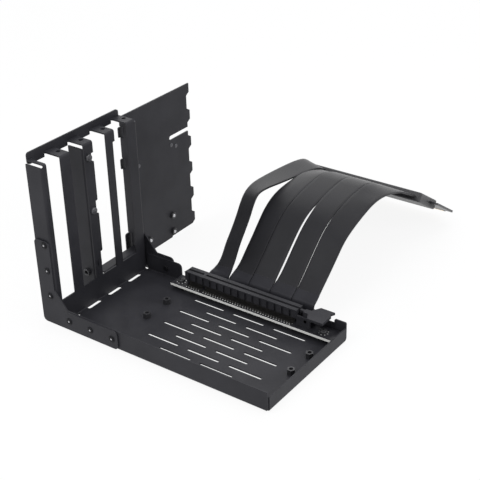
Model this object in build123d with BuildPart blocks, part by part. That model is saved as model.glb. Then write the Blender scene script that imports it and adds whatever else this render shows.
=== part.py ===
from build123d import *
from math import cos, radians, sin, tan
import os

# Vertical graphics card bracket: a tray and slot panel folded from one steel sheet,
# corner braces, a riser board with an x16 slot and its flat cable.
# Origin: middle of the tray floor's underside. +X runs along the tray away from the
# slot panel, +Y towards the riser board, +Z up. Millimetres.

# Sheet metal
sheet = 1.0
bend = 0.5
fold_relief = 1.7
corner_gap = 0.3
hem_gap = 1.0

# Tray
tray_length = 161.5
tray_width = 86.8
near_flange_height = 13.7
end_flange_height = 9.8
far_flange_height = 13.3
far_flange_length = 31.6
far_corner_length = 8.9
corner_radius = 3.0

# Slot panel
slot_pitch = 20.32
slot_count = 4
panel_height = 113.0
panel_depth = 13.4
post_width = 4.3
first_bar = 16.3
wide_bar = 8.1
slim_bar = 6.2
head_height = 7.0
sill_height = 17.0
ledge_depth = 9.0
rail_drop = 3.5
rail_rise = 4.3
rail_inset = 2.0
tab_hole_offset = 5.0
tab_hole_radius = 1.5
tab_collar_radius = 2.3
tab_collar_depth = 1.6
tab_hole_depth = 6.6

# Tongue slots and vent slots in the floor
tongue_length = 12.3
tongue_width = 3.0
tongue_offset = 0.0
tongue_centre = 10.25
vent_length = 24.5
vent_width = 1.9
vent_pitch = 31.44
vent_start = 53.4
vent_first_row = 15.5
vent_row_pitch = 7.99
vent_rows = 8

# Side plate beyond the panel
plate_reach = 69.0
plate_height = 112.0
plate_step = 45.2
plate_lift = 1.0
tooth_first = 6.3
tooth_base = 10.6
tooth_tip = 6.6
tooth_depth = 3.1
tooth_count = 6
plate_slot_length = 21.0
plate_slot_width = 3.2
lug_reach = 2.0
lug_height = 7.0
lug_centres = (77.6, 100.5)
foot_lug_reach = 3.4
foot_lug_low = 10.8
foot_lug_high = 24.8
nut_spots = ((46.4, 17.7), (46.4, 4.6), (19.6, 9.4))
nut_radius = 2.5
nut_height = 1.8
nut_bore = 1.25
nut_closed = 1.2
pilot_radius = 0.9
pilot_head_radius = 1.5
pilot_head = 0.5
pilot_spots = ((49.5, 72.0), (54.5, 69.6), (14.1, 69.7))

# Corner braces
brace_height = 61.0
brace_width = 13.1
brace_arm = 13.5
near_brace_length = 50.0
far_brace_length = 24.0
far_brace_arm = 15.3
gusset = 9.5
brace_radius = 3.0
rivet_inset = 8.4
rivet_top = 3.0
rivet_pitch = 18.3
rivet_end = 4.9
rivet_radius = 1.6
rivet_head_radius = 2.3
rivet_head = 0.8
rivet_tail = 0.8
near_rivet_height = 7.2
far_rivet_x = 18.0
far_rivet_height = 6.3

# Centre angle behind the second bar and the ledge behind the sill
angle_drop = 3.6
angle_low = 3.0
angle_leg = 9.0
angle_neck = 6.2
angle_wides = ((79.0, 51.0), (42.0, 14.3))
angle_screw_drops = (10.0, 47.0)
angle_screw_offset = 3.3
angle_nut_spot = (7.4, 19.9)
lug_spot = (4.1, 27.6)
lug_size = (3.0, 3.4)
lug_stand = 0.7
lug_play = 0.15
ledge_leg = 11.0
ledge_start = 45.9
ledge_end = 84.6

# Standoffs and riser board
standoff_height = 3.6
standoff_radius = 2.6
standoff_shank = 1.9
screw_bore = 1.25
spare_near = (41.2, 37.4)
spare_spacing_x = 111.1
board_length = 125.5
board_start = 32.3
board_front = 73.0
board_width = 20.0
board_thick = 1.6
board_gap = 0.4
board_margin = 2.0
riser_screw_y = 78.6
riser_screw_x = (37.4, 149.3)
screw_shank = 1.25
screw_head_radius = 2.4
screw_head_height = 1.8

# Card slot on the riser board
slot_length = 89.0
slot_start = 41.2
slot_front = 77.0
slot_width = 7.5
slot_height = 10.0
groove_width = 1.8
groove_depth = 7.2
groove_end = 1.6
groove_overlap = 3.6
channel_half = 2.1
wall_lift = 0.5
contact_pitch = 1.0
short_contacts = 11
long_contacts = 71
key_gap = 3.0
contact_inset = 3.4
contact_width = 0.45
contact_foot = 1.9
contact_thick = 0.35
rib_pitch = 5.7
rib_gap = 1.9
rib_depth = 0.9
rib_height = 5.4
rib_cap = 0.8

# Slot latch
cheek_length = 10.0
cheek_height = 6.4
cheek_thick = 1.4
latch_pivot = 6.5
latch_pivot_height = 4.0
latch_pin_radius = 1.05
latch_clearance = 0.05
latch_side_gap = 0.3
pad_low = 7.9
pad_thick = 1.7
pad_reach = 14.6
pad_near = 6.9
pad_far = 8.1
pad_notch = 1.6
hook_reach = 3.0

# Flat cable in five strips, its clamp and its plug
strip_count = 5
strip_width = 16.2
strip_pitch = 16.6
strip_thick = 1.2
strip_bite = 5.4
strip_play = 0.1
strips_reach = 76.7
clamp_margin = 1.5
clamp_depth = 5.0
clamp_height = 6.2
plug_angle = 33.5
plug_y = 178.0
plug_z = 36.5
cover_margin = 3.5
cover_width = 90.0
cover_length = 32.0
cover_thick = 7.0
plug_board_margin = 10.5
plug_board_width = 104.0
plug_board_in = 14.0
plug_board_out = 17.0
tongue_reach = 8.0
finger_pitch = 1.0
finger_width = 0.7
finger_length = 4.5
finger_thick = 0.1

# Planes and heights that the pieces share
panel_x = -tray_length / 2
end_x = tray_length / 2
near_y = -tray_width / 2
far_y = tray_width / 2
rail_x = panel_x - panel_depth
floor_z = sheet
tab_z = panel_height - sheet
rail_low = panel_height - rail_drop
plate_y = far_y - sheet
outer_bend = bend + sheet
board_z = floor_z + standoff_height
board_top = board_z + board_thick
board_x = panel_x + board_start
slot_x = panel_x + slot_start
slot_y = near_y + slot_front
slot_mid_y = slot_y + slot_width / 2
groove_y = slot_mid_y
clamp_y = slot_y + slot_width + 0.3
far_brace_x = rail_x + 1.2
strips_left = slot_x + slot_length - strips_reach
clamp_x = strips_left - clamp_margin
clamp_length = strip_pitch * (strip_count - 1) + strip_width + 2 * clamp_margin
bar_starts = [near_y + first_bar + k * slot_pitch for k in range(slot_count)]
bar_widths = [wide_bar, slim_bar, slim_bar]
screw_y = near_y + riser_screw_y
screw_spots = [(panel_x + x, screw_y) for x in riser_screw_x]
spare_spots = [
    (panel_x + spare_near[0] + i * spare_spacing_x, near_y + spare_near[1] + j * slot_pitch)
    for i in range(2)
    for j in range(2)
]


def edges_at(axis, **place):
    """Straight edges of the open part that run along an axis at the given coordinates."""
    return edges().filter_by(axis).filter_by(
        lambda e: all(abs(getattr(e.center(), key) - value) < 0.01 for key, value in place.items())
    )


def rect(x_low, x_high, y_low, y_high, mode=Mode.ADD):
    """A rectangle given by its four sides."""
    with Locations(((x_low + x_high) / 2, (y_low + y_high) / 2)):
        Rectangle(x_high - x_low, y_high - y_low, mode=mode)


def spots(plane, places):
    """Locations on a plane for the given pairs of coordinates."""
    return [plane.location * Location((u, v, 0)) for u, v in places]


def pegs(plane, places, radius, height, mode=Mode.ADD):
    """Round pegs standing on a plane at the given places."""
    with Locations(*spots(plane, places)):
        Cylinder(radius, height, align=(Align.CENTER, Align.CENTER, Align.MIN), mode=mode)


def contact_places(first):
    """Positions of the two groups of contacts along the slot, from the first one."""
    short = [first + i * contact_pitch for i in range(short_contacts)]
    return short + [short[-1] + key_gap + i * contact_pitch for i in range(long_contacts)]


post_rivets = [(rail_x + rivet_inset, brace_height - rivet_top - k * rivet_pitch) for k in range(3)]
foot_pitch = (near_brace_length - gusset - rivet_end) / 2
near_rivets = post_rivets + [(panel_x + gusset + k * foot_pitch, near_rivet_height) for k in range(3)]
far_rivets = post_rivets + [(panel_x + far_rivet_x, far_rivet_height)]
angle_y = bar_starts[1]
angle_top = panel_height - angle_drop
angle_screws_at = [(angle_y + angle_screw_offset, panel_height - drop) for drop in angle_screw_drops]
lug_low = lug_spot[1] - lug_size[1] / 2
lug_high = lug_spot[1] + lug_size[1] / 2
lug_right = angle_y + lug_spot[0] - lug_size[0] / 2
lug_left = angle_y + lug_spot[0] + lug_size[0] / 2


# Tray, slot panel, rail and side plate, folded from one sheet
with BuildPart() as bracket_body:
    with BuildSketch(Plane.XY):
        rect(panel_x - sheet, end_x, near_y, far_y)
        rect(panel_x - sheet, panel_x + fold_relief, near_y, near_y + fold_relief, Mode.SUBTRACT)
        rect(panel_x - sheet, panel_x + fold_relief, far_y - fold_relief, far_y, Mode.SUBTRACT)
        rect(end_x - fold_relief, end_x, near_y, near_y + fold_relief, Mode.SUBTRACT)
        rect(end_x - fold_relief, end_x, far_y - fold_relief, far_y, Mode.SUBTRACT)
    extrude(amount=sheet)
    with BuildSketch(Plane.XZ.offset(-near_y)):
        rect(panel_x + fold_relief, end_x - fold_relief, 0, near_flange_height)
    extrude(amount=-sheet)
    with BuildSketch(Plane.XZ.offset(-far_y)):
        rect(panel_x + fold_relief, end_x - fold_relief, 0, far_flange_height)
    extrude(amount=sheet)
    with BuildSketch(Plane.YZ.offset(end_x)):
        rect(near_y + fold_relief, far_y - fold_relief, 0, end_flange_height)
    extrude(amount=-sheet)
    with BuildSketch(Plane.YZ.offset(panel_x)):
        rect(near_y + fold_relief, far_y - fold_relief, 0, floor_z + fold_relief)
        rect(near_y, far_y, floor_z + fold_relief, tab_z - hem_gap)
        rect(near_y + rail_inset, far_y - rail_inset, floor_z + fold_relief, panel_height)
    extrude(amount=-sheet)
    with BuildSketch(Plane.XY.offset(panel_height)):
        rect(rail_x - sheet, panel_x, near_y + rail_inset, far_y - rail_inset)
    extrude(amount=-sheet)
    with BuildSketch(Plane.XZ.offset(-near_y)):
        rect(rail_x, panel_x, floor_z + fold_relief, tab_z - hem_gap)
    extrude(amount=-sheet)
    with BuildSketch(Plane.XZ.offset(-far_y)):
        rect(rail_x - sheet, panel_x, floor_z + fold_relief, tab_z - hem_gap)
    extrude(amount=sheet)
    with BuildSketch(Plane.YZ.offset(rail_x)):
        rect(plate_y, far_y + plate_reach, 0, plate_height - hem_gap)
    extrude(amount=-sheet)

    # Folds
    fillet(edges_at(Axis.X, Y=near_y, Z=0) + edges_at(Axis.X, Y=far_y, Z=0), outer_bend)
    fillet(edges_at(Axis.Y, X=end_x, Z=0) + edges_at(Axis.Y, X=panel_x - sheet, Z=0), outer_bend)
    fillet(edges_at(Axis.Z, X=panel_x, Y=near_y) + edges_at(Axis.Z, X=panel_x, Y=far_y), outer_bend)
    fillet(edges_at(Axis.Y, X=panel_x, Z=panel_height), outer_bend)
    fillet(edges_at(Axis.X, Y=near_y + sheet, Z=floor_z), bend)
    fillet(edges_at(Axis.X, Y=far_y - sheet, Z=floor_z), bend)
    fillet(edges_at(Axis.Y, X=end_x - sheet, Z=floor_z), bend)
    fillet(edges_at(Axis.Y, X=panel_x, Z=floor_z), bend)

    # Flanges run on to the corners above the bend, with a narrow gap at the two end corners
    for y, inner in ((near_y, near_y + sheet), (far_y, far_y - sheet)):
        height = near_flange_height if y < 0 else far_flange_height
        with BuildSketch(Plane.XZ.offset(-y)):
            rect(end_x - 2 * fold_relief, end_x - sheet / 2, outer_bend, height)
        extrude(amount=y - inner)
        with BuildSketch(Plane.YZ.offset(end_x)):
            start = inner + corner_gap if y < 0 else inner - corner_gap
            stop = near_y + 2 * fold_relief if y < 0 else far_y - 2 * fold_relief
            rect(min(start, stop), max(start, stop), outer_bend, end_flange_height)
        extrude(amount=-sheet)

    # Windows between the bars, open at the top as far as the rail
    for k in range(slot_count):
        right = bar_starts[k]
        left = near_y + post_width if k == 0 else bar_starts[k - 1] + bar_widths[k - 1]
        head = near_y + post_width if k == 0 else bar_starts[k - 1] + wide_bar
        with BuildSketch(Plane.YZ.offset(panel_x)):
            rect(left, right, sill_height, tab_z - head_height)
            rect(head, right, tab_z - head_height, panel_height)
        extrude(amount=-sheet - bend, mode=Mode.SUBTRACT)
        with BuildSketch(Plane.XY.offset(panel_height)):
            rect(rail_x, panel_x, head, right)
        extrude(amount=-2 * sheet, mode=Mode.SUBTRACT)
        fillet(edges_at(Axis.Z, X=rail_x, Y=head) + edges_at(Axis.Z, X=rail_x, Y=right), 2 * sheet)

    # Rail with its lower edge hanging between the tabs
    with BuildSketch(Plane.YZ.offset(rail_x)):
        rect(near_y + rail_inset, far_y - rail_inset, rail_low, panel_height + rail_rise)
        fillet(vertices(), 2.0)
        for k in range(slot_count):
            rect(bar_starts[k], bar_starts[k] + wide_bar, rail_low, tab_z, Mode.SUBTRACT)
    extrude(amount=-sheet)

    # Screw holes in the tabs
    tab_holes = [(panel_x - tab_hole_depth, y + tab_hole_offset) for y in bar_starts]
    pegs(Plane.XY.offset(tab_z - tab_collar_depth), tab_holes, tab_collar_radius, tab_collar_depth)
    with Locations(*[(x, y, panel_height) for x, y in tab_holes]):
        Hole(tab_hole_radius, depth=sheet + tab_collar_depth)

    # Tongue slots at the panel's foot and the staggered vents
    with BuildSketch(Plane.XY.offset(floor_z + bend)):
        for k in range(slot_count):
            mid = near_y + tongue_centre + k * slot_pitch
            with Locations((panel_x + tongue_offset + tongue_width / 2, mid)):
                SlotOverall(tongue_length, tongue_width, rotation=90)
        for row in range(vent_rows):
            count = 2 if row % 2 == 0 else 3
            shift = vent_pitch / 2 if count == 2 else 0
            for i in range(count):
                mid = panel_x + vent_start + shift + i * vent_pitch + vent_length / 2
                with Locations((mid, near_y + vent_first_row + row * vent_row_pitch)):
                    SlotOverall(vent_length, vent_width)
    extrude(amount=-sheet - bend, mode=Mode.SUBTRACT)

    # Far flange cut back for the riser board
    with BuildSketch(Plane.XZ.offset(-far_y)):
        rect(panel_x + far_flange_length, end_x - far_corner_length, floor_z, 2 * far_flange_height)
    extrude(amount=outer_bend + sheet, mode=Mode.SUBTRACT)
    fillet(edges_at(Axis.Y, X=panel_x + far_flange_length, Z=far_flange_height), corner_radius)
    fillet(edges_at(Axis.Y, X=end_x - far_corner_length, Z=far_flange_height), sheet)
    fillet(edges_at(Axis.Y, X=end_x - sheet / 2, Z=far_flange_height), sheet)

    # Side plate: toothed edge, stepped foot, open slot, lugs and holes
    teeth = [tooth_first + k * slot_pitch for k in range(tooth_count)]
    plate_edge = far_y + plate_reach
    with BuildSketch(Plane.YZ.offset(rail_x)):
        for mid in teeth:
            with BuildLine():
                Polyline(
                    (plate_edge - sheet, mid - tooth_base / 2),
                    (plate_edge, mid - tooth_base / 2),
                    (plate_edge + tooth_depth, mid - tooth_tip / 2),
                    (plate_edge + tooth_depth, mid + tooth_tip / 2),
                    (plate_edge, mid + tooth_base / 2),
                    (plate_edge - sheet, mid + tooth_base / 2),
                    close=True,
                )
            make_face()
        rect(plate_edge, plate_edge + tooth_depth, teeth[-1], plate_height - hem_gap)
        rect(far_y, plate_edge + tooth_depth, plate_height - hem_gap, 2 * plate_height, Mode.SUBTRACT)
    extrude(amount=-sheet)
    with BuildSketch(Plane.YZ.offset(rail_x)):
        rect(far_y + plate_step, plate_edge + tooth_depth, -sheet, plate_lift)
        slot_z = (teeth[3] + teeth[4]) / 2
        with Locations((plate_edge, slot_z)):
            SlotOverall(2 * plate_slot_length, plate_slot_width)
        with Locations(*[(far_y + y, z) for y, z in nut_spots]):
            Circle(nut_radius - 0.6)
        with Locations(*[(far_y + y, z) for y, z in pilot_spots]):
            Circle(pilot_radius)
    extrude(amount=-sheet, mode=Mode.SUBTRACT)
    lugs = [(z - lug_height / 2, z + lug_height / 2, lug_reach) for z in lug_centres]
    lugs.append((foot_lug_low, foot_lug_high, foot_lug_reach))
    for low, high, reach in lugs:
        with BuildSketch(Plane.XZ.offset(-far_y)):
            rect(rail_x - sheet, rail_x + reach, low - sheet / 2, high + sheet / 2)
        extrude(amount=sheet, mode=Mode.SUBTRACT)
        with BuildSketch(Plane.YZ.offset(rail_x)):
            rect(plate_y - reach, far_y + sheet, low, high)
        extrude(amount=-sheet)
        fillet(edges_at(Axis.X, Y=plate_y - reach, Z=high), reach / 2)

    # Holes for the rivets and screws that join the other sheets to it
    with BuildSketch(Plane.XZ.offset(-near_y)):
        with Locations(*near_rivets):
            Circle(rivet_radius)
    extrude(amount=-sheet, mode=Mode.SUBTRACT)
    with BuildSketch(Plane.XZ.offset(-far_y)):
        with Locations(*far_rivets):
            Circle(rivet_radius)
    extrude(amount=sheet, mode=Mode.SUBTRACT)
    with BuildSketch(Plane.YZ.offset(panel_x)):
        with Locations(*angle_screws_at):
            Circle(screw_shank)
        rect(lug_right - lug_play, lug_left + lug_play, lug_low - lug_play, lug_high + lug_play)
    extrude(amount=-sheet, mode=Mode.SUBTRACT)
    with BuildSketch(Plane.XY.offset(floor_z)):
        with Locations(*spare_spots, *screw_spots):
            Circle(standoff_shank)
    extrude(amount=-sheet, mode=Mode.SUBTRACT)
bracket_body.part.label = "bracket_body"


# Corner braces, riveted outside the folded corners
def brace_face(left, length, arm):
    """Outline of a corner brace: upright, foot and the sloped web between them."""
    Polygon(
        (left, 0.6),
        (panel_x + length, 0.6),
        (panel_x + length, arm),
        (panel_x + gusset, arm),
        (rail_x + brace_width - 0.6, arm + gusset * 1.35),
        (rail_x + brace_width - 0.6, brace_height),
        (left, brace_height),
        align=None,
    )
    fillet(vertices().group_by(Axis.Y)[-1], brace_radius)
    fillet(vertices().group_by(Axis.X)[-1], brace_radius)
    fillet(vertices().sort_by(lambda v: v.X + v.Y)[0], brace_radius)


with BuildPart() as near_brace:
    with BuildSketch(Plane.XZ.offset(-near_y)):
        brace_face(rail_x, near_brace_length, brace_arm)
        with Locations(*near_rivets):
            Circle(rivet_radius, mode=Mode.SUBTRACT)
    extrude(amount=sheet)
near_brace.part.label = "near_brace"

with BuildPart() as far_brace:
    with BuildSketch(Plane.XZ.offset(-far_y)):
        brace_face(far_brace_x, far_brace_length, far_brace_arm)
        with Locations(*far_rivets):
            Circle(rivet_radius, mode=Mode.SUBTRACT)
    extrude(amount=-sheet)
far_brace.part.label = "far_brace"


def rivets(plane, places):
    """Blind rivets seen from a plane on the outer sheet: flanged head, shank and formed tail."""
    pegs(plane, places, rivet_head_radius, rivet_head)
    pegs(plane.offset(-2 * sheet), places, rivet_radius, 2 * sheet)
    pegs(plane.offset(-2 * sheet - rivet_tail), places, rivet_head_radius - 0.3, rivet_tail)


with BuildPart() as near_brace_rivets:
    rivets(Plane.XZ.offset(-near_y + sheet), near_rivets)
near_brace_rivets.part.label = "near_brace_rivets"

with BuildPart() as far_brace_rivets:
    outside = Plane(origin=(0, far_y + sheet, 0), x_dir=(-1, 0, 0), z_dir=(0, 1, 0))
    rivets(outside, [(-x, z) for x, z in far_rivets])
far_brace_rivets.part.label = "far_brace_rivets"

# Centre angle screwed to the back of the second bar
back_x = panel_x - sheet
with BuildPart() as centre_angle:
    with BuildSketch(Plane.XY.offset(angle_low)):
        rect(rail_x, back_x, angle_y, angle_y + sheet)
        rect(back_x - sheet, back_x, angle_y, angle_y + angle_neck)
        fillet(vertices().sort_by(lambda v: v.X - v.Y)[-1], outer_bend)
    extrude(amount=angle_top - angle_low)
    for low, high in angle_wides:
        with BuildSketch(Plane.XY.offset(panel_height - low)):
            rect(back_x - sheet, back_x, angle_y + angle_neck - sheet, angle_y + angle_leg)
        extrude(amount=low - high)
        fillet(edges_at(Axis.X, Y=angle_y + angle_leg), sheet)
    with BuildSketch(Plane.YZ.offset(back_x)):
        with Locations(*angle_screws_at):
            Circle(screw_shank)
    extrude(amount=-sheet, mode=Mode.SUBTRACT)
    with BuildSketch(Plane.XZ.offset(-angle_y)):
        with Locations((panel_x - angle_nut_spot[0], angle_nut_spot[1])):
            Circle(nut_radius - 0.6)
    extrude(amount=-sheet, mode=Mode.SUBTRACT)
    with BuildSketch(Plane.YZ.offset(back_x)):
        rect(lug_right, lug_left, lug_low, lug_high)
    extrude(amount=sheet + lug_stand)
centre_angle.part.label = "centre_angle"

# Ledge angle behind the sill, under the last two windows
with BuildPart() as sill_ledge:
    with BuildSketch(Plane.XZ.offset(-near_y - ledge_start)):
        rect(back_x - sheet, back_x, sill_height - ledge_leg, sill_height)
        rect(panel_x - ledge_depth, back_x, sill_height - sheet, sill_height)
        fillet(vertices().sort_by(lambda v: v.X + v.Y)[-1], outer_bend)
    extrude(amount=-(ledge_end - ledge_start))
    fillet(edges_at(Axis.Z, X=panel_x - ledge_depth), 2 * sheet)
sill_ledge.part.label = "sill_ledge"


def screws(plane, places, grip, head=screw_head_height):
    """Flat head screws standing on a plane, their shanks of the given grip below it."""
    pegs(plane, places, screw_head_radius, head)
    pegs(plane.offset(-grip), places, screw_shank, grip)


with BuildPart() as angle_screws:
    screws(Plane.YZ.offset(panel_x), angle_screws_at, 2 * sheet + 0.8, 1.5)
angle_screws.part.label = "angle_screws"


def press_nuts(plane, places, closed=0.0):
    """Round press nuts standing on a plane, their collars in a sheet behind it, closed ones longer."""
    pegs(plane, places, nut_radius, nut_height)
    pegs(plane.offset(-sheet - closed), places, nut_radius - 0.6, sheet + closed)
    pegs(plane.offset(-sheet), places, nut_bore, sheet + nut_height, Mode.SUBTRACT)


# Closed press nut in the centre angle's outer leg
with BuildPart() as angle_nut:
    angle_nut_at = (panel_x - angle_nut_spot[0], angle_nut_spot[1])
    press_nuts(Plane.XZ.offset(-angle_y), [angle_nut_at], nut_closed)
angle_nut.part.label = "angle_nut"

# Small rivets in the side plate
pilots_at = [(far_y + y, z) for y, z in pilot_spots]
with BuildPart() as plate_rivets:
    pegs(Plane.YZ.offset(rail_x), pilots_at, pilot_head_radius, pilot_head)
    pegs(Plane.YZ.offset(rail_x - sheet), pilots_at, pilot_radius, sheet)
plate_rivets.part.label = "plate_rivets"

# Press nuts in the side plate, each with a screw end showing in its bore
nuts_at = [(far_y + y, z) for y, z in nut_spots]
with BuildPart() as plate_nuts:
    press_nuts(Plane.YZ.offset(rail_x), nuts_at)
plate_nuts.part.label = "plate_nuts"

with BuildPart() as plate_screws:
    back = Plane(origin=(rail_x - sheet, 0, 0), x_dir=(0, -1, 0), z_dir=(-1, 0, 0))
    screws(back, [(-y, z) for y, z in nuts_at], sheet + nut_height, 1.4)
plate_screws.part.label = "plate_screws"


def posts(places):
    """Outlines of six-sided standoffs."""
    with Locations(*places):
        RegularPolygon(standoff_radius, 6)


def stems(places):
    """Shanks of the standoffs in the tray floor and their threaded bores."""
    pegs(Plane.XY, places, standoff_shank, floor_z)
    pegs(Plane.XY, places, screw_bore, floor_z + standoff_height, Mode.SUBTRACT)


with BuildPart() as spare_standoffs:
    with BuildSketch(Plane.XY.offset(floor_z)):
        posts(spare_spots)
    extrude(amount=standoff_height)
    stems(spare_spots)
spare_standoffs.part.label = "spare_standoffs"

with BuildPart() as riser_standoffs:
    with BuildSketch(Plane.XY.offset(floor_z)):
        posts(screw_spots)
    extrude(amount=standoff_height)
    stems(screw_spots)
riser_standoffs.part.label = "riser_standoffs"

# Riser board on its standoffs
board_end = board_x + board_length
board_y = near_y + board_front
with BuildPart() as riser_board:
    with BuildSketch(Plane.XY.offset(board_z)):
        rect(board_x, board_end, board_y, plate_y - board_gap)
        rect(clamp_x - board_margin, clamp_x + clamp_length + board_margin, board_y, board_y + board_width)
        with Locations(*screw_spots):
            Circle(screw_shank, mode=Mode.SUBTRACT)
    extrude(amount=board_thick)
riser_board.part.label = "riser_board"

with BuildPart() as riser_screws:
    screws(Plane.XY.offset(board_top), screw_spots, board_thick + standoff_height)
riser_screws.part.label = "riser_screws"

# Card slot housing: long groove, open contact channel below, pockets along the front
slot_end = slot_x + slot_length
slot_top = board_top + slot_height
contacts_at = contact_places(slot_x + contact_inset)
key_x = (contacts_at[short_contacts - 1] + contacts_at[short_contacts]) / 2
pivot_x = slot_end + latch_pivot
pivot_z = board_top + latch_pivot_height
with BuildPart() as slot_connector:
    with BuildSketch(Plane.YZ.offset(slot_x)):
        rect(slot_y, slot_y + slot_width, board_top, slot_top)
    extrude(amount=slot_length)
    chamfer(edges_at(Axis.Y, X=slot_x, Z=slot_top), 1.6)
    with BuildSketch(Plane.XY.offset(slot_top)):
        near_side = groove_y - groove_width / 2
        far_side = groove_y + groove_width / 2
        rect(slot_x + groove_end, key_x - groove_width / 2, near_side, far_side)
        rect(key_x + groove_width / 2, slot_end, near_side, far_side)
    extrude(amount=-groove_depth, mode=Mode.SUBTRACT)
    for first, last in ((0, short_contacts - 1), (short_contacts, -1)):
        low = contacts_at[first] - contact_pitch * 0.8
        high = contacts_at[last] + contact_pitch * 0.8
        with BuildSketch(Plane.XY.offset(board_top)):
            rect(low, high, groove_y - channel_half, groove_y + channel_half)
        extrude(amount=slot_height - groove_depth + groove_overlap, mode=Mode.SUBTRACT)
        with BuildSketch(Plane.XY.offset(board_top)):
            rect(low, high, slot_y, groove_y)
        extrude(amount=wall_lift, mode=Mode.SUBTRACT)
    pockets = int((slot_length - 2 * groove_end) / rib_pitch)
    with BuildSketch(Plane.XZ.offset(-slot_y)):
        for k in range(pockets):
            left = slot_x + 3.6 + k * rib_pitch
            rect(left, left + rib_gap, slot_top - rib_height - rib_cap, slot_top - rib_cap)
        rect(slot_x, slot_end, board_top, slot_top - rib_height - rib_cap)
    extrude(amount=-rib_depth, mode=Mode.SUBTRACT)
    for y in (slot_y, slot_y + slot_width - cheek_thick):
        with BuildSketch(Plane.XZ.offset(-y)):
            rect(slot_end, slot_end + cheek_length, board_top, board_top + cheek_height)
            with Locations((pivot_x, pivot_z)):
                Circle(latch_pin_radius + latch_clearance, mode=Mode.SUBTRACT)
        extrude(amount=-cheek_thick)
    fillet(edges_at(Axis.Y, X=slot_end + cheek_length, Z=board_top + cheek_height), 1.5)
slot_connector.part.label = "slot_connector"

# Spring contacts in two rows, the front row with solder feet on the board
with BuildPart() as slot_contacts:
    blade = slot_height - groove_depth + groove_overlap - 0.6
    for x in contacts_at:
        with BuildSketch(Plane.YZ.offset(x - contact_width / 2)):
            front = groove_y - channel_half
            rect(front, front + contact_thick, board_top, board_top + blade)
            rect(slot_y - contact_foot, front + contact_thick, board_top, board_top + contact_thick)
            back = groove_y + channel_half
            rect(back - contact_thick, back, board_top, board_top + blade)
        extrude(amount=contact_width)
slot_contacts.part.label = "slot_contacts"

# Card latch between the cheeks, with a fish-tail pad and a hook towards the slot
inner_half = slot_width / 2 - cheek_thick - latch_side_gap
with BuildPart() as slot_latch:
    pad_z = board_top + pad_low
    with BuildSketch(Plane.XZ.offset(-slot_mid_y + inner_half)):
        with BuildLine():
            Polyline(
                (pivot_x - 2.2, pivot_z - 2.0),
                (pivot_x + 2.2, pivot_z - 2.0),
                (pivot_x + 3.0, pad_z + pad_thick),
                (pivot_x - 2.6, pad_z + pad_thick),
                close=True,
            )
        make_face()
    extrude(amount=-2 * inner_half)
    with BuildSketch(Plane.XY.offset(pad_z)):
        with BuildLine():
            Polyline(
                (pivot_x + 1.0, slot_mid_y - inner_half),
                (pivot_x + 3.4, slot_mid_y - pad_near),
                (pivot_x + pad_reach, slot_mid_y - pad_near),
                (pivot_x + pad_reach, slot_mid_y + pad_far - 3 * pad_notch),
                (pivot_x + pad_reach - pad_notch, slot_mid_y + pad_far - 2 * pad_notch),
                (pivot_x + pad_reach, slot_mid_y + pad_far),
                (pivot_x + 4.4, slot_mid_y + pad_far),
                (pivot_x + 1.0, slot_mid_y + inner_half),
                close=True,
            )
        make_face()
    extrude(amount=pad_thick)
    with BuildSketch(Plane.XY.offset(pad_z + 0.5)):
        rect(pivot_x - 2.6 - hook_reach, pivot_x, slot_mid_y - 0.8, slot_mid_y + 0.8)
    extrude(amount=pad_thick - 0.5)
    with BuildSketch(Plane.XZ.offset(-slot_y)):
        with Locations((pivot_x, pivot_z)):
            Circle(latch_pin_radius)
    extrude(amount=-slot_width)
slot_latch.part.label = "slot_latch"

# Flat cable: clamp behind the slot, five strips, plug cover and plug board
clamp_low = board_top
strips_x = [strips_left + k * strip_pitch for k in range(strip_count)]
root_y = clamp_y + clamp_depth / 2
with BuildPart() as cable_clamp:
    with BuildSketch(Plane.XY.offset(clamp_low)):
        rect(clamp_x, clamp_x + clamp_length, clamp_y, clamp_y + clamp_depth)
        fillet(vertices(), 1.0)
    extrude(amount=clamp_height)
    with BuildSketch(Plane.XY.offset(clamp_low + clamp_height)):
        half = strip_thick / 2 + strip_play
        for x in strips_x:
            rect(x - strip_play, x + strip_width + strip_play, root_y - half, root_y + half)
    extrude(amount=-strip_bite, mode=Mode.SUBTRACT)
cable_clamp.part.label = "cable_clamp"

plug_up = (0, sin(radians(plug_angle)), cos(radians(plug_angle)))
plug = Plane(origin=(0, plug_y, plug_z), x_dir=(1, 0, 0), z_dir=plug_up)
plug_dir = (cos(radians(plug_angle)), -sin(radians(plug_angle)))
root = (root_y, clamp_low + clamp_height - strip_bite + strip_play)
mouth = (plug_y + plug_dir[0] * strip_bite, plug_z + plug_dir[1] * strip_bite)
lead = (plug_y - plug_dir[0] * 18, plug_z - plug_dir[1] * 18)
flat_rise = ((root_y, 17.2), (51.6, 25.6), (69.5, 38.6), (100.6, 54.3), (137.5, 59.8))
low_rise = ((root_y, 16.2), (54.8, 20.2), (72.0, 32.5), (97.5, 54.5), (133.5, 60.2))
high_rise = ((root_y, 16.2), (55.0, 21.2), (66.5, 38.0), (80.5, 57.0), (106.0, 60.4), (138.0, 58.4))
flat_route, low_route, high_route = [(root, *rise, lead, mouth) for rise in (flat_rise, low_rise, high_rise)]
radius_share = 0.45


def bend_radii(points):
    """Largest smooth arc at each corner of a route, from its shorter neighbouring run."""
    radii = []
    for a, b, c in zip(points, points[1:], points[2:]):
        before, after = Vector(*b) - Vector(*a), Vector(*c) - Vector(*b)
        turn = radians(before.get_angle(after))
        radii.append(radius_share * min(before.length, after.length) / tan(turn / 2))
    print("bend radii", [round(r, 1) for r in radii])
    return radii


with BuildPart() as cable_strip_1:
    with BuildSketch(Plane.YZ.offset(strips_x[0])):
        with BuildLine():
            FilletPolyline(*high_route, radius=bend_radii(high_route))
        trace(line_width=strip_thick)
    extrude(amount=strip_width)
cable_strip_1.part.label = "cable_strip_1"

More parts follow.
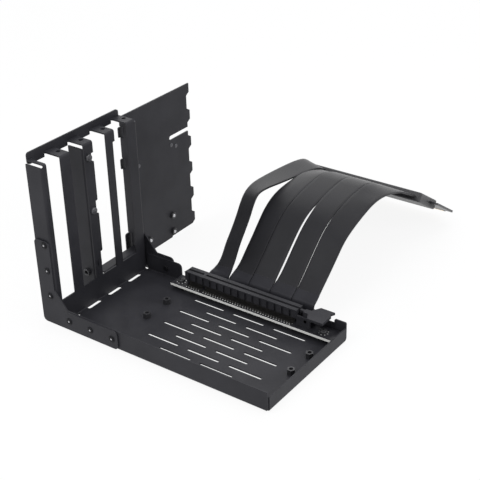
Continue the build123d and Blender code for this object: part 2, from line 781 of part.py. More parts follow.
with BuildPart() as cable_strip_2:
    with BuildSketch(Plane.YZ.offset(strips_x[1])):
        with BuildLine():
            FilletPolyline(*low_route, radius=bend_radii(low_route))
        trace(line_width=strip_thick)
    extrude(amount=strip_width)
cable_strip_2.part.label = "cable_strip_2"

with BuildPart() as cable_strip_3:
    with BuildSketch(Plane.YZ.offset(strips_x[2])):
        with BuildLine():
            FilletPolyline(*flat_route, radius=bend_radii(flat_route))
        trace(line_width=strip_thick)
    extrude(amount=strip_width)
cable_strip_3.part.label = "cable_strip_3"

with BuildPart() as cable_strip_4:
    with BuildSketch(Plane.YZ.offset(strips_x[3])):
        with BuildLine():
            FilletPolyline(*flat_route, radius=bend_radii(flat_route))
        trace(line_width=strip_thick)
    extrude(amount=strip_width)
cable_strip_4.part.label = "cable_strip_4"

with BuildPart() as cable_strip_5:
    with BuildSketch(Plane.YZ.offset(strips_x[4])):
        with BuildLine():
            FilletPolyline(*flat_route, radius=bend_radii(flat_route))
        trace(line_width=strip_thick)
    extrude(amount=strip_width)
cable_strip_5.part.label = "cable_strip_5"

# In the plug's own plane u runs along X and v against the cable's direction
with BuildPart() as plug_cover:
    with BuildSketch(plug.offset(-cover_thick / 2)):
        rect(strips_left - cover_margin, strips_left - cover_margin + cover_width, 0, cover_length)
        fillet(vertices(), 2.0)
    extrude(amount=cover_thick)
    fillet(edges().filter_by(Axis.X), 1.2)
    half = strip_thick / 2 + strip_play
    with BuildSketch(plug.offset(-half)):
        for x in strips_x:
            rect(x - strip_play, x + strip_width + strip_play, -1, strip_bite + 2 * strip_play)
    extrude(amount=2 * half, mode=Mode.SUBTRACT)
    board_u = strips_left - plug_board_margin
    with BuildSketch(plug.offset(-board_thick / 2)):
        rect(board_u, board_u + plug_board_width, cover_length - plug_board_in, cover_length + 1)
    extrude(amount=board_thick, mode=Mode.SUBTRACT)
plug_cover.part.label = "plug_cover"

tongue_x = strips_left - 1.0
card_edge = cover_length + plug_board_out + tongue_reach
short_tongue = short_contacts * finger_pitch + 1.2
long_tongue = long_contacts * finger_pitch + 1.2
key_cut = 1.9
with BuildPart() as plug_board:
    with BuildSketch(plug.offset(-board_thick / 2)):
        rect(board_u, board_u + plug_board_width, cover_length - plug_board_in, cover_length + plug_board_out)
        rect(tongue_x, tongue_x + short_tongue, cover_length, card_edge)
        long_x = tongue_x + short_tongue + key_cut
        rect(long_x, long_x + long_tongue, cover_length, card_edge)
        chamfer(vertices().group_by(Axis.Y)[-1], 0.8)
    extrude(amount=board_thick)
plug_board.part.label = "plug_board"

with BuildPart() as plug_contacts:
    for level in (-board_thick / 2 - finger_thick, board_thick / 2):
        with BuildSketch(plug.offset(level)):
            for left, count in ((tongue_x, short_contacts), (long_x, long_contacts)):
                for i in range(count):
                    u = left + 0.6 + i * finger_pitch
                    rect(u + 0.15, u + 0.15 + finger_width, card_edge - 0.9 - finger_length, card_edge - 0.9)
        extrude(amount=finger_thick)
plug_contacts.part.label = "plug_contacts"

os.makedirs("parts", exist_ok=True)
export_step(bracket_body.part, "parts/bracket_body.step")
export_step(near_brace.part, "parts/near_brace.step")
export_step(far_brace.part, "parts/far_brace.step")
export_step(near_brace_rivets.part, "parts/near_brace_rivets.step")
export_step(far_brace_rivets.part, "parts/far_brace_rivets.step")
export_step(centre_angle.part, "parts/centre_angle.step")
export_step(sill_ledge.part, "parts/sill_ledge.step")
export_step(angle_screws.part, "parts/angle_screws.step")
export_step(angle_nut.part, "parts/angle_nut.step")
export_step(plate_rivets.part, "parts/plate_rivets.step")
export_step(plate_nuts.part, "parts/plate_nuts.step")
export_step(plate_screws.part, "parts/plate_screws.step")
export_step(spare_standoffs.part, "parts/spare_standoffs.step")
export_step(riser_standoffs.part, "parts/riser_standoffs.step")
export_step(riser_board.part, "parts/riser_board.step")
export_step(riser_screws.part, "parts/riser_screws.step")
export_step(slot_connector.part, "parts/slot_connector.step")
export_step(slot_contacts.part, "parts/slot_contacts.step")
export_step(slot_latch.part, "parts/slot_latch.step")
export_step(cable_clamp.part, "parts/cable_clamp.step")
export_step(cable_strip_1.part, "parts/cable_strip_1.step")
export_step(cable_strip_2.part, "parts/cable_strip_2.step")
export_step(cable_strip_3.part, "parts/cable_strip_3.step")
export_step(cable_strip_4.part, "parts/cable_strip_4.step")
export_step(cable_strip_5.part, "parts/cable_strip_5.step")
export_step(plug_cover.part, "parts/plug_cover.step")
export_step(plug_board.part, "parts/plug_board.step")
export_step(plug_contacts.part, "parts/plug_contacts.step")
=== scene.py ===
import bpy
import bmesh
import math
from mathutils import Matrix, Vector


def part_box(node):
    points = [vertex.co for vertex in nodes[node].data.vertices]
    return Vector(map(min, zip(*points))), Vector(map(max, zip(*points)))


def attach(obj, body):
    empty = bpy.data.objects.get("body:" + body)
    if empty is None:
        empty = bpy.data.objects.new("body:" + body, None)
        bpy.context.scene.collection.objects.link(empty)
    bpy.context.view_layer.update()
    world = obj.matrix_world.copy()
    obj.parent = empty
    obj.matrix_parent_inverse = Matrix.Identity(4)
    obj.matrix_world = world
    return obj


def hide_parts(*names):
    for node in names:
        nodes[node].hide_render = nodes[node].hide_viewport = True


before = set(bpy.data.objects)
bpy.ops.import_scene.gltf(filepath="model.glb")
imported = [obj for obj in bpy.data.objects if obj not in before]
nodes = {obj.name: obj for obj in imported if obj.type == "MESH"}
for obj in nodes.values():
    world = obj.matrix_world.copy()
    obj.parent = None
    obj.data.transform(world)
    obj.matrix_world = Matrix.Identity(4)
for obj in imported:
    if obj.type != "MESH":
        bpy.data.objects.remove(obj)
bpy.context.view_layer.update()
MM = 0.001


# Camera at the photograph's viewpoint
def viewpoint():
    """Camera matrix from the view's azimuth, elevation, roll and place."""
    right = Vector((0.8049, 0.5934, 0))
    back = Vector((0.5189, -0.7039, 0.4851)).normalized()
    up = back.cross(right).normalized()
    roll = math.radians(-1.615)
    tilted_right = right * math.cos(roll) + up * math.sin(roll)
    tilted_up = up * math.cos(roll) - right * math.sin(roll)
    turn = Matrix((tilted_right, tilted_up, back)).transposed().to_4x4()
    return Matrix.Translation(Vector((0.36329, -0.44907, 0.38656))) @ turn


camera = bpy.data.objects.new("camera", bpy.data.cameras.new("camera"))
bpy.context.collection.objects.link(camera)
camera.matrix_world = viewpoint()
camera.data.sensor_width = 36
camera.data.lens = 82.12
camera.data.clip_end = 20
bpy.context.scene.camera = camera


# Finishes
def finish_nodes(name):
    """A new material with its node tree and its surface shader."""
    material = bpy.data.materials.new(name)
    material.use_nodes = True
    tree = material.node_tree
    return material, tree, tree.nodes["Principled BSDF"]


def grain(tree, scale, detail, stretch=(1, 1, 1)):
    """Noise on the object's own coordinates, stretched for brushed or drawn surfaces."""
    place = tree.nodes.new("ShaderNodeTexCoord")
    mapping = tree.nodes.new("ShaderNodeMapping")
    mapping.inputs["Scale"].default_value = stretch
    noise = tree.nodes.new("ShaderNodeTexNoise")
    noise.inputs["Scale"].default_value = scale
    noise.inputs["Detail"].default_value = detail
    tree.links.new(place.outputs["Object"], mapping.inputs["Vector"])
    tree.links.new(mapping.outputs["Vector"], noise.inputs["Vector"])
    return noise


def between(tree, factor, low, high):
    """A colour that runs from low to high as the factor goes from 0.3 to 0.7."""
    ramp = tree.nodes.new("ShaderNodeValToRGB")
    ramp.color_ramp.elements[0].position = 0.3
    ramp.color_ramp.elements[1].position = 0.7
    ramp.color_ramp.elements[0].color = (*low, 1)
    ramp.color_ramp.elements[1].color = (*high, 1)
    tree.links.new(factor, ramp.inputs["Fac"])
    return ramp.outputs["Color"]


def spread(tree, factor, low, high):
    """A value that runs from low to high with the factor."""
    span = tree.nodes.new("ShaderNodeMapRange")
    span.inputs["To Min"].default_value = low
    span.inputs["To Max"].default_value = high
    tree.links.new(factor, span.inputs["Value"])
    return span.outputs["Result"]


def relief(tree, shader, height, depth, strength):
    """Fine surface relief of the given depth in metres."""
    bump = tree.nodes.new("ShaderNodeBump")
    bump.inputs["Distance"].default_value = depth
    bump.inputs["Strength"].default_value = strength
    tree.links.new(height, bump.inputs["Height"])
    tree.links.new(bump.outputs["Normal"], shader.inputs["Normal"])


def coated(name, dark, light, rough, metallic=0.0, sheen=0.5, scale=1600, stretch=(1, 1, 1), depth=0.00004):
    """A finish with cloudy colour, uneven gloss and a fine grain."""
    material, tree, shader = finish_nodes(name)
    cloud = grain(tree, 55, 3)
    fine = grain(tree, scale, 4, stretch)
    tree.links.new(between(tree, cloud.outputs["Fac"], dark, light), shader.inputs["Base Color"])
    tree.links.new(spread(tree, fine.outputs["Fac"], *rough), shader.inputs["Roughness"])
    relief(tree, shader, fine.outputs["Fac"], depth, 0.5)
    shader.inputs["Metallic"].default_value = metallic
    shader.inputs["Specular IOR Level"].default_value = sheen
    return material


powder_coat = coated("powder_coat", (0.018, 0.018, 0.022), (0.026, 0.026, 0.031), (0.4, 0.56), sheen=0.2, scale=1900)
rivet_black = coated("rivet_black", (0.008, 0.008, 0.01), (0.013, 0.013, 0.015), (0.35, 0.45), sheen=0.12)
screw_black = coated("screw_black", (0.03, 0.03, 0.033), (0.045, 0.045, 0.05), (0.3, 0.45), metallic=0.4)
screw_satin = coated("screw_satin", (0.06, 0.06, 0.065), (0.1, 0.1, 0.11), (0.3, 0.42), metallic=0.5)
zinc_plate = coated("zinc_plate", (0.42, 0.42, 0.44), (0.56, 0.56, 0.58), (0.25, 0.42), metallic=0.9)
slot_plastic = coated("slot_plastic", (0.023, 0.023, 0.027), (0.034, 0.034, 0.039), (0.42, 0.6), sheen=0.2, scale=2400)
contact_metal = coated("contact_metal", (0.035, 0.034, 0.032), (0.06, 0.057, 0.052), (0.35, 0.5), metallic=0.5)
edge_gold = coated("edge_gold", (0.75, 0.52, 0.18), (0.9, 0.66, 0.28), (0.2, 0.3), metallic=1.0)


def soft_sheen(shader):
    """Lightens a surface that is seen almost edge on, as film and moulded skin do."""
    shader.inputs["Sheen Weight"].default_value = 0.2
    shader.inputs["Sheen Roughness"].default_value = 0.4


def board_finish():
    """Black board lacquer with a pale sawn front edge."""
    material, tree, shader = finish_nodes("board_lacquer")
    place = tree.nodes.new("ShaderNodeTexCoord")
    split = tree.nodes.new("ShaderNodeSeparateXYZ")
    front = tree.nodes.new("ShaderNodeMath")
    front.operation = "LESS_THAN"
    front.inputs[1].default_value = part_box("riser_board")[0][1] + 0.0001
    mix = tree.nodes.new("ShaderNodeMix")
    mix.data_type = "RGBA"
    cloud = grain(tree, 300, 3)
    tree.links.new(place.outputs["Object"], split.inputs["Vector"])
    tree.links.new(split.outputs["Y"], front.inputs[0])
    tree.links.new(front.outputs["Value"], mix.inputs["Factor"])
    lacquer = between(tree, cloud.outputs["Fac"], (0.012, 0.012, 0.015), (0.022, 0.022, 0.026))
    tree.links.new(lacquer, mix.inputs["A"])
    mix.inputs["B"].default_value = (0.9, 0.9, 0.88, 1)
    tree.links.new(mix.outputs["Result"], shader.inputs["Base Color"])
    tree.links.new(spread(tree, cloud.outputs["Fac"], 0.25, 0.4), shader.inputs["Roughness"])
    relief(tree, shader, grain(tree, 900, 2).outputs["Fac"], 0.00003, 0.4)
    return material


def cable_finish():
    """Dark cable film: faint lines of the wires along the strip and a soft sheen."""
    material, tree, shader = finish_nodes("cable_film")
    place = tree.nodes.new("ShaderNodeTexCoord")
    wires = tree.nodes.new("ShaderNodeTexWave")
    wires.inputs["Scale"].default_value = 2.0
    wires.inputs["Distortion"].default_value = 0.3
    cloud = grain(tree, 40, 4)
    tree.links.new(place.outputs["UV"], wires.inputs["Vector"])
    film = between(tree, cloud.outputs["Fac"], (0.009, 0.009, 0.011), (0.015, 0.015, 0.018))
    tree.links.new(film, shader.inputs["Base Color"])
    tree.links.new(spread(tree, cloud.outputs["Fac"], 0.4, 0.52), shader.inputs["Roughness"])
    shader.inputs["Specular IOR Level"].default_value = 0.17
    soft_sheen(shader)
    relief(tree, shader, wires.outputs["Fac"], 0.00002, 0.25)
    return material


board_lacquer = board_finish()
cable_film = cable_finish()
boot_plastic = coated("boot_plastic", (0.012, 0.012, 0.016), (0.019, 0.019, 0.024), (0.42, 0.56), sheen=0.17)
# Painted light: the plug cover gets a lighter copy of the slot plastic, so that its top edge reads as more brightly lit
plug_plastic_painted_lighter = coated("plug_plastic_painted_lighter", (0.032, 0.032, 0.035), (0.044, 0.044, 0.047), (0.42, 0.52), sheen=0.35)
for skin in (boot_plastic, plug_plastic_painted_lighter):
    soft_sheen(skin.node_tree.nodes["Principled BSDF"])

for names, material in (
    (("bracket_body", "near_brace", "far_brace", "centre_angle", "sill_ledge"), powder_coat),
    (("near_brace_rivets", "far_brace_rivets", "plate_rivets"), rivet_black),
    (("angle_screws", "plate_nuts", "angle_nut", "spare_standoffs", "riser_standoffs"), screw_black),
    (("riser_screws", "plate_screws"), zinc_plate),
    (("slot_connector", "slot_latch", "cable_clamp"), slot_plastic),
    (("plug_cover",), plug_plastic_painted_lighter),
    (("slot_contacts",), contact_metal),
    (("plug_contacts",), edge_gold),
    (("riser_board", "plug_board"), board_lacquer),
):
    for name in names:
        nodes[name].data.materials.clear()
        nodes[name].data.materials.append(material)


# Turned pieces
RIGHT, LEFT, OUT, IN, UP = (1, 0, 0), (-1, 0, 0), (0, -1, 0), (0, 1, 0), (0, 0, 1)


def turned(rings, sides=28, closed=True):
    """A turned blank from (radius, height) stations, spun about the upright axis."""
    blank = bmesh.new()
    verts = [blank.verts.new((r * MM, 0, h * MM)) for r, h in rings]
    ends = verts[1:] + verts[:1] if closed else verts[1:]
    edges = [blank.edges.new(pair) for pair in zip(verts, ends)]
    bmesh.ops.spin(
        blank, geom=verts + edges, cent=(0, 0, 0), axis=(0, 0, 1), angle=math.tau, steps=sides, use_merge=True
    )
    bmesh.ops.remove_doubles(blank, verts=blank.verts, dist=0.000001)
    bmesh.ops.dissolve_degenerate(blank, edges=blank.edges, dist=0.000001)
    bmesh.ops.recalc_face_normals(blank, faces=blank.faces)
    return blank


def cross_recess(blank, top, half_width, half_length, depth):
    """Drives a cross-shaped recess into the flat top of a turned head."""
    for axis in (RIGHT, IN):
        for cut in (-half_length, -half_width, half_width, half_length):
            geometry = blank.verts[:] + blank.edges[:] + blank.faces[:]
            bmesh.ops.bisect_plane(blank, geom=geometry, plane_co=Vector(axis) * cut * MM, plane_no=axis)
    arms = []
    for face in blank.faces:
        middle = face.calc_center_median() / MM
        reach = max(abs(middle.x), abs(middle.y))
        across = min(abs(middle.x), abs(middle.y))
        if face.normal.z > 0.99 and abs(middle.z - top) < 0.01 and reach < half_length and across < half_width:
            arms.append(face)
    grown = bmesh.ops.extrude_face_region(blank, geom=arms)["geom"]
    sunk = [v for v in grown if isinstance(v, bmesh.types.BMVert)]
    bmesh.ops.translate(blank, verts=sunk, vec=(0, 0, -depth * MM))
    bmesh.ops.recalc_face_normals(blank, faces=blank.faces)


def piece_of(name, shapes, material, replaced=None, smooth_angle=35):
    """One object made of all the given blanks, riding on the frame."""
    mesh = bpy.data.meshes.new(name)
    whole = bmesh.new()
    for blank in shapes:
        part = bpy.data.meshes.new("blank")
        blank.to_mesh(part)
        blank.free()
        whole.from_mesh(part)
        bpy.data.meshes.remove(part)
    whole.to_mesh(mesh)
    whole.free()
    mesh.materials.append(material)
    mesh.shade_smooth()
    mesh.set_sharp_from_angle(angle=math.radians(smooth_angle))
    made = bpy.data.objects.new(name, mesh)
    bpy.context.collection.objects.link(made)
    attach(made, "frame")
    if replaced:
        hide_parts(replaced)
    return made


def set_at(blank, place, facing):
    """Turns an upright blank to face a direction and puts it in its place."""
    turn = Vector(UP).rotation_difference(Vector(facing)).to_matrix().to_4x4()
    bmesh.ops.transform(blank, matrix=Matrix.Translation(Vector(place) * MM) @ turn, verts=blank.verts)
    return blank


panel_x = -80.75
near_y = -43.4
far_y = 43.4
rail_x = panel_x - 13.4
sheet_thick = 1.0
rivet_blank = (
    (0, 0.25), (0.75, 0.25), (0.85, 0.7), (1.2, 0.8), (1.75, 0.72), (2.15, 0.45), (2.3, 0.12), (2.3, 0),
    (1.6, 0), (1.6, -2.0), (2.0, -2.0), (2.0, -2.5), (1.7, -2.8), (0, -2.8),
)
post_rivets = [(rail_x + 8.4, 58 - 18.3 * k) for k in range(3)]
near_rivets = post_rivets + [(panel_x + 9.5 + 17.8 * k, 7.2) for k in range(3)]
far_rivets = post_rivets + [(panel_x + 18, 6.3)]
piece_of(
    "near_rivet_heads",
    [set_at(turned(rivet_blank), (x, near_y - sheet_thick, z), OUT) for x, z in near_rivets],
    rivet_black, "near_brace_rivets",
)
piece_of(
    "far_rivet_heads",
    [set_at(turned(rivet_blank), (x, far_y + sheet_thick, z), IN) for x, z in far_rivets],
    rivet_black, "far_brace_rivets",
)
# The bright end of the pulled pin in each rivet's dimple
pin_blank = ((0, 0.77), (0.4, 0.72), (0.72, 0.5), (0.72, 0.2), (0, 0.2))
pins = [set_at(turned(pin_blank, 16), (x, near_y - sheet_thick, z), OUT) for x, z in near_rivets]
pins += [set_at(turned(pin_blank, 16), (x, far_y + sheet_thick, z), IN) for x, z in far_rivets]
piece_of("rivet_pins", pins, zinc_plate)


def screw(head, grip):
    """A flat-topped screw with a rounded rim, a cross recess and a plain shank."""
    blank = turned((
        (0, head), (1.9, head), (2.2, head - 0.15), (2.4, head - 0.5), (2.4, 0.1), (2.3, 0),
        (1.25, 0), (1.25, 0.2 - grip), (1.05, -grip), (0, -grip),
    ))
    cross_recess(blank, head, 0.35, 1.35, 0.8)
    return blank


second_bar = near_y + 16.3 + 20.32
angle_screw_spots = [(panel_x, second_bar + 3.3, z) for z in (103, 66)]
riser_screw_spots = [(panel_x + x, near_y + 78.6, 6.2) for x in (37.4, 149.3)]
nut_spots = [(far_y + y, z) for y, z in ((46.4, 17.7), (46.4, 4.6), (19.6, 9.4))]
stud_spots = [(far_y + y, z) for y, z in ((49.5, 72.0), (54.5, 69.6), (14.1, 69.7))]
piece_of(
    "angle_screw_set", [set_at(screw(1.5, 2.8), spot, RIGHT) for spot in angle_screw_spots],
    screw_satin, "angle_screws",
)
piece_of(
    "riser_screw_set", [set_at(screw(1.8, 5.2), spot, UP) for spot in riser_screw_spots],
    screw_black, "riser_screws",
)
piece_of(
    "plate_screw_set",
    [set_at(screw(1.4, 2.8), (rail_x - sheet_thick, y, z), LEFT) for y, z in nut_spots],
    zinc_plate, "plate_screws",
)
nut_blank = (
    (1.25, -1), (1.9, -1), (1.9, 0), (2.5, 0), (2.5, 1.45), (2.2, 1.8), (1.55, 1.8), (1.25, 1.5),
)
piece_of(
    "plate_nut_set", [set_at(turned(nut_blank), (rail_x, y, z), RIGHT) for y, z in nut_spots],
    screw_black, "plate_nuts",
)
closed_nut = (
    (0, -1.0), (1.25, -1.0), (1.25, 1.5), (1.55, 1.8), (2.2, 1.8), (2.5, 1.45), (2.5, 0),
    (1.9, 0), (1.9, -2.2), (0, -2.2),
)
piece_of(
    "angle_nut_set", [set_at(turned(closed_nut), (panel_x - 7.4, second_bar, 19.9), OUT)],
    screw_black, "angle_nut",
)
stud_blank = ((0, 0.5), (0.9, 0.5), (1.3, 0.38), (1.5, 0.1), (1.5, 0), (0.9, 0), (0.9, -1), (0, -1))
piece_of(
    "plate_stud_set", [set_at(turned(stud_blank, 20), (rail_x, y, z), RIGHT) for y, z in stud_spots],
    screw_satin, "plate_rivets",
)

# Tinned ring under each riser screw and the slot's soldered feet
tin = coated("tin", (0.55, 0.55, 0.55), (0.7, 0.7, 0.7), (0.3, 0.45), metallic=0.7, scale=2600)
pads = []
for x, y, z in riser_screw_spots:
    for k in range(8):
        angle = math.tau * k / 8
        pad = turned(((0, 0.08), (0.3, 0.08), (0.42, 0.02), (0.42, -0.02), (0, -0.02)), 8)
        pads.append(set_at(pad, (x + 2.95 * math.cos(angle), y + 2.95 * math.sin(angle), z), UP))
piece_of("screw_pads", pads, tin)
slot_x = panel_x + 41.2
slot_y = near_y + 77.0
board_top = 6.2
first_contact = slot_x + 3.4
contact_places = [first_contact + i for i in range(11)] + [first_contact + 13 + i for i in range(71)]
dots = []
for i, x in enumerate(contact_places):
    dot = bmesh.new()
    bmesh.ops.create_icosphere(dot, subdivisions=1, radius=0.42 * MM)
    bmesh.ops.scale(dot, verts=dot.verts, vec=(1, 1.25, 0.7))
    dots.append(set_at(dot, (x, slot_y - (1.0 if i % 2 else 2.4), board_top + 0.12), UP))
piece_of("solder_dots", dots, tin, smooth_angle=80)




# Card slot housing: a grooved bar with an undercut front, teeth, end blocks and latch cheeks
def prism(outline, start, length):
    """A bar along X from its (y, z) outline."""
    bar = bmesh.new()
    verts = [bar.verts.new((start * MM, y * MM, z * MM)) for y, z in outline]
    face = bar.faces.new(verts)
    grown = bmesh.ops.extrude_face_region(bar, geom=[face], use_keep_orig=True)["geom"]
    moved = [v for v in grown if isinstance(v, bmesh.types.BMVert)]
    bmesh.ops.translate(bar, verts=moved, vec=(length * MM, 0, 0))
    bmesh.ops.recalc_face_normals(bar, faces=bar.faces)
    return bar


slot_end = slot_x + 89.0
slot_top = board_top + 10.0
slot_back = slot_y + 7.5
groove = (slot_y + 2.85, slot_y + 4.65, slot_top - 7.2)
rim = slot_top - 0.8
tooth_low = slot_top - 6.2
undercut = [(slot_y + 3.4, board_top), (slot_back, board_top), (slot_back, slot_top)]
front_side = [(slot_y, slot_top), (slot_y, rim), (slot_y + 0.9, rim), (slot_y + 0.9, tooth_low)]
trench = [(groove[1], slot_top), (groove[1], groove[2]), (groove[0], groove[2]), (groove[0], slot_top)]
grooved = undercut + trench + front_side
key_place = slot_x + 3.4 + 11.5
shapes = [prism(grooved, slot_x + 1.6, 87.4)]
end_block = prism(undercut + front_side, slot_x, 1.6)
corner = [e for e in end_block.edges if all(abs(v.co.x / MM - slot_x) < 0.01 and v.co.z / MM > rim for v in e.verts)]
bmesh.ops.bevel(end_block, geom=corner, offset=1.2 * MM, segments=1, affect="EDGES", profile=0.5, material=-1)
shapes.append(end_block)
shapes.append(prism(
    [(groove[0], groove[2]), (groove[1], groove[2]), (groove[1], slot_top), (groove[0], slot_top)], key_place - 0.9, 1.8
))
tooth_ends = [(slot_x + 0.9, slot_x + 3.6)]
tooth_ends += [(slot_x + 5.5 + 5.7 * k, slot_x + 9.3 + 5.7 * k) for k in range(14)] + [(slot_x + 85.3, slot_end)]
for start, end in tooth_ends:
    tooth = prism(
        [(slot_y + 0.05, rim), (slot_y + 0.05, tooth_low + 0.4), (slot_y + 0.6, tooth_low),
         (slot_y + 0.95, tooth_low), (slot_y + 0.95, rim)],
        start, end - start,
    )
    shapes.append(tooth)
for low in (slot_y, slot_back - 1.4):
    cheek = prism(
        [(low, board_top), (low + 1.4, board_top), (low + 1.4, board_top + 6.4), (low, board_top + 6.4)], slot_end, 10
    )
    tip = [
        e for e in cheek.edges
        if all(v.co.x / MM > slot_end + 9.9 and v.co.z / MM > board_top + 6.3 for v in e.verts)
    ]
    bmesh.ops.bevel(cheek, geom=tip, offset=1.5 * MM, segments=5, affect="EDGES", profile=0.5, material=-1)
    shapes.append(cheek)
piece_of("slot_housing", shapes, slot_plastic, "slot_connector")

# Far wall's low end under the latch pad
wall_end = prism([(far_y - 1, 1.5), (far_y, 1.5), (far_y, 10.4), (far_y - 1, 10.4)], 60.5, 11.35)
upper = [
    e for e in wall_end.edges if all(v.co.x / MM < 60.6 and v.co.z / MM > 10.3 for v in e.verts)
]
bmesh.ops.bevel(wall_end, geom=upper, offset=1.5 * MM, segments=5, affect="EDGES", profile=0.5, material=-1)
piece_of("far_wall_end", [wall_end], powder_coat)


# Flat cable
def route_line(points):
    """Points of the smooth line that a strip's route controls."""
    curve = bpy.data.curves.new("route", "CURVE")
    curve.dimensions = "3D"
    curve.resolution_u = 8
    spline = curve.splines.new("NURBS")
    spline.points.add(len(points) - 1)
    for control, point in zip(spline.points, points):
        control.co = (*[v * MM for v in point], 1)
    spline.order_u = 3
    spline.use_endpoint_u = True
    guide = bpy.data.objects.new("route", curve)
    bpy.context.collection.objects.link(guide)
    bpy.context.view_layer.update()
    line = bpy.data.meshes.new_from_object(guide)
    places = [v.co.copy() for v in line.vertices]
    bpy.data.objects.remove(guide)
    bpy.data.meshes.remove(line)
    return places


def band_between(name, left, right, thick, material, lanes=8):
    """A flat band between two edge lines, thickened and with rounded edges."""
    stations = [[a.lerp(b, k / lanes) for k in range(lanes + 1)] for a, b in zip(left, right)]
    band = bmesh.new()
    lane_verts = [band.verts.new(place) for place in stations[0]]
    row = [band.edges.new(pair) for pair in zip(lane_verts, lane_verts[1:])]
    for places in stations[1:]:
        grown = bmesh.ops.extrude_edge_only(band, edges=row)["geom"]
        moved = [v for v in grown if isinstance(v, bmesh.types.BMVert)]
        row = [e for e in grown if isinstance(e, bmesh.types.BMEdge) and all(v in moved for v in e.verts)]
        ordered = [min(moved, key=lambda v, old=old: (v.co - old.co).length) for old in lane_verts]
        for vert, place in zip(ordered, places):
            vert.co = place
        lane_verts = ordered
    bmesh.ops.recalc_face_normals(band, faces=band.faces)
    uv = band.loops.layers.uv.new("strip")
    for face in band.faces:
        for loop in face.loops:
            loop[uv].uv = ((loop.vert.co.x - left[0].x) / MM, loop.vert.co.y / MM * 0.05)
    mesh = bpy.data.meshes.new(name)
    band.to_mesh(mesh)
    band.free()
    mesh.materials.append(material)
    mesh.shade_smooth()
    strip = bpy.data.objects.new(name, mesh)
    bpy.context.collection.objects.link(strip)
    body = strip.modifiers.new("thickness", "SOLIDIFY")
    body.thickness = thick * MM
    body.offset = 0
    edge = strip.modifiers.new("edge", "BEVEL")
    edge.width = 0.00012
    edge.segments = 2
    edge.limit_method = "ANGLE"
    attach(strip, "frame")
    return strip, [places[lanes // 2] for places in stations]


# Each strip's edges as (y, z) stations; all end in the plug cover's mouth
root = (43.9, 7.1)
plug_run = ((162.99, 46.43), (182.5, 33.52))
flat_edge = (
    root, (43.9, 15.5), (48, 17.6), (54.5, 23.2), (62, 29.8), (72, 39.2), (81, 46.8), (91, 52.4), (104, 55.8),
    (120, 58.2), (138, 59.4), *plug_run,
)
low_edge = (
    root, (43.9, 13.8), (51, 16), (58, 19.5), (64.5, 26), (71, 31.8), (79, 39.8), (87, 47.6), (97, 53),
    (110, 55.2), (136, 55.4), *plug_run,
)
high_edge = (
    root, (43.9, 14), (47.5, 18), (52.5, 24), (57, 32), (63, 39.5), (70, 48), (75, 56.5), (80.5, 61.8),
    (92, 61.2), (106, 58.8), (124, 56), (143, 53.2), (158, 49.7), (170, 41.8), plug_run[1],
)
dropped_edge = (
    root, (43.9, 13.2), (52, 13), (57, 19), (62.5, 28), (68.5, 34.5), (75.5, 43.5), (81, 52.2), (86.3, 57.3),
    (96, 58.9), (110, 58.5), (130, 56.9), (150, 54.6), (165, 50.2), (176.5, 38), plug_run[1],
)
drooped_edge = (
    root, (43.9, 15.5), (48, 17.6), (54.5, 22.8), (62, 28.6), (72, 37), (81, 44.8), (91, 49.2), (104, 53.6),
    (120, 57.2), (138, 55.2), *plug_run,
)
# Sideways place of each edge: at the clamp, along the rise and from the crest on
clamp_edges = ((-27.25, -11.05), (-10.65, 5.55), (5.95, 22.15), (22.55, 38.75), (39.15, 55.35))
rise_edges = ((-25.4, -11.05), (-10.65, 5.6), (5.9, 22.0), (23.8, 38.7), (39.35, 55.2))
crest_edges = ((-26.5, -10.8), (-10.65, 5.75), (5.75, 22.35), (22.35, 38.95), (38.95, 55.35))
strip_profiles = (
    (dropped_edge, high_edge), (low_edge, flat_edge), (flat_edge, flat_edge), (flat_edge, flat_edge),
    (flat_edge, drooped_edge),
)
rise_start, rise_end = 53, 96
strip_thick = 1.2
boot_thick = 1.55
boot_start, boot_end = 11.9, 51.5


def edge_route(profile, at_clamp, on_rise, at_crest):
    """Route of one strip edge: its (y, z) stations with the sideways place for each stretch."""
    route = []
    for y, z in profile:
        x = at_clamp if y < rise_start else on_rise if y < rise_end else at_crest
        route.append((x if y < 160 else at_clamp, y, z))
    return route_line(route)


for number, profiles in enumerate(strip_profiles):
    sides = [
        edge_route(profiles[i], clamp_edges[number][i], rise_edges[number][i], crest_edges[number][i])
        for i in range(2)
    ]
    strip, line = band_between(f"strip_{number + 1}", *sides, strip_thick, cable_film)
    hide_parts(f"cable_strip_{number + 1}")
    kept = [
        i for i, (a, b) in enumerate(zip(*sides))
        if min(a.z, b.z) / MM > boot_start and (a.y + b.y) / 2 / MM < boot_end
    ]
    boot, line = band_between(
        f"boot_{number + 1}", *[[side[i] for i in kept] for side in sides], boot_thick, boot_plastic
    )


# Pale floor, white surroundings and soft light
def seen_directly(tree):
    """One for camera, glossy and transmission rays, so that metal shows the same white background."""
    rays = tree.nodes.new("ShaderNodeLightPath")
    value = rays.outputs["Is Camera Ray"]
    for ray in ("Is Glossy Ray", "Is Transmission Ray"):
        either = tree.nodes.new("ShaderNodeMath")
        either.operation = "MAXIMUM"
        tree.links.new(value, either.inputs[0])
        tree.links.new(rays.outputs[ray], either.inputs[1])
        value = either.outputs["Value"]
    return value


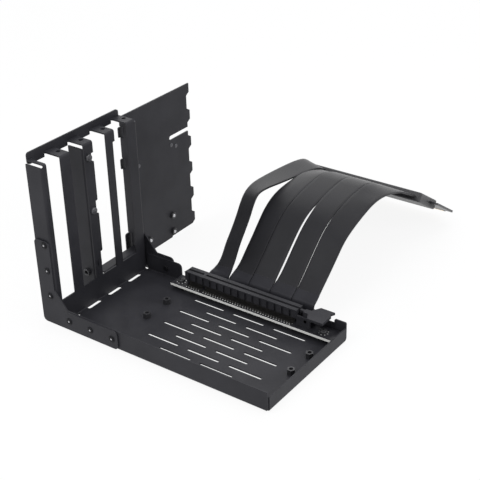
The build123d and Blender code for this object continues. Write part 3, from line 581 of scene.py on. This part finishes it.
def pale(name, whiteness, colour):
    """A pale surface that looks white to the camera and still takes a faint shadow."""
    material, tree, shader = finish_nodes(name)
    shader.inputs["Base Color"].default_value = (*colour, 1)
    shader.inputs["Roughness"].default_value = 0.9
    glow = tree.nodes.new("ShaderNodeEmission")
    share = tree.nodes.new("ShaderNodeMath")
    share.operation = "MULTIPLY"
    share.inputs[1].default_value = whiteness
    mix = tree.nodes.new("ShaderNodeMixShader")
    tree.links.new(seen_directly(tree), share.inputs[0])
    tree.links.new(share.outputs["Value"], mix.inputs["Fac"])
    tree.links.new(shader.outputs["BSDF"], mix.inputs[1])
    tree.links.new(glow.outputs["Emission"], mix.inputs[2])
    tree.links.new(mix.outputs["Shader"], tree.nodes["Material Output"].inputs["Surface"])
    return material


ground = bmesh.new()
bmesh.ops.create_grid(ground, x_segments=1, y_segments=1, size=4)
bmesh.ops.translate(ground, verts=ground.verts, vec=(0, 0, -0.0008))
floor_mesh = bpy.data.meshes.new("floor")
ground.to_mesh(floor_mesh)
ground.free()
floor_mesh.materials.append(pale("floor_white", 0.9, (0.85, 0.85, 0.86)))
floor = bpy.data.objects.new("floor", floor_mesh)
bpy.context.collection.objects.link(floor)

world = bpy.data.worlds.new("studio")
bpy.context.scene.world = world
world.use_nodes = True
sky = world.node_tree.nodes["Background"]
sky.inputs["Color"].default_value = (1, 1, 1, 1)
sky.inputs["Strength"].default_value = 0.6
seen = world.node_tree.nodes.new("ShaderNodeBackground")
blend = world.node_tree.nodes.new("ShaderNodeMixShader")
world.node_tree.links.new(seen_directly(world.node_tree), blend.inputs["Fac"])
world.node_tree.links.new(sky.outputs["Background"], blend.inputs[1])
world.node_tree.links.new(seen.outputs["Background"], blend.inputs[2])
world.node_tree.links.new(blend.outputs["Shader"], world.node_tree.nodes["World Output"].inputs["Surface"])


def lamp(name, place, size, power):
    """A soft square lamp aimed at the middle of the object."""
    light = bpy.data.lights.new(name, "AREA")
    light.size = size
    light.energy = power
    lamp_object = bpy.data.objects.new(name, light)
    bpy.context.collection.objects.link(lamp_object)
    lamp_object.location = place
    aim = Vector((0, 0.05, 0.05)) - Vector(place)
    lamp_object.rotation_euler = aim.to_track_quat("-Z", "Y").to_euler()


lamp("key_lamp", (-0.3, -0.9, 1.1), 0.7, 7.5)
lamp("side_lamp", (1.2, 0.2, 0.9), 0.8, 7.5)
lamp("top_lamp", (0.1, 0.3, 1.5), 0.9, 5)
lamp("back_lamp", (-0.7, 1.1, 0.8), 0.8, 3)

bpy.context.scene.view_settings.view_transform = "Standard"
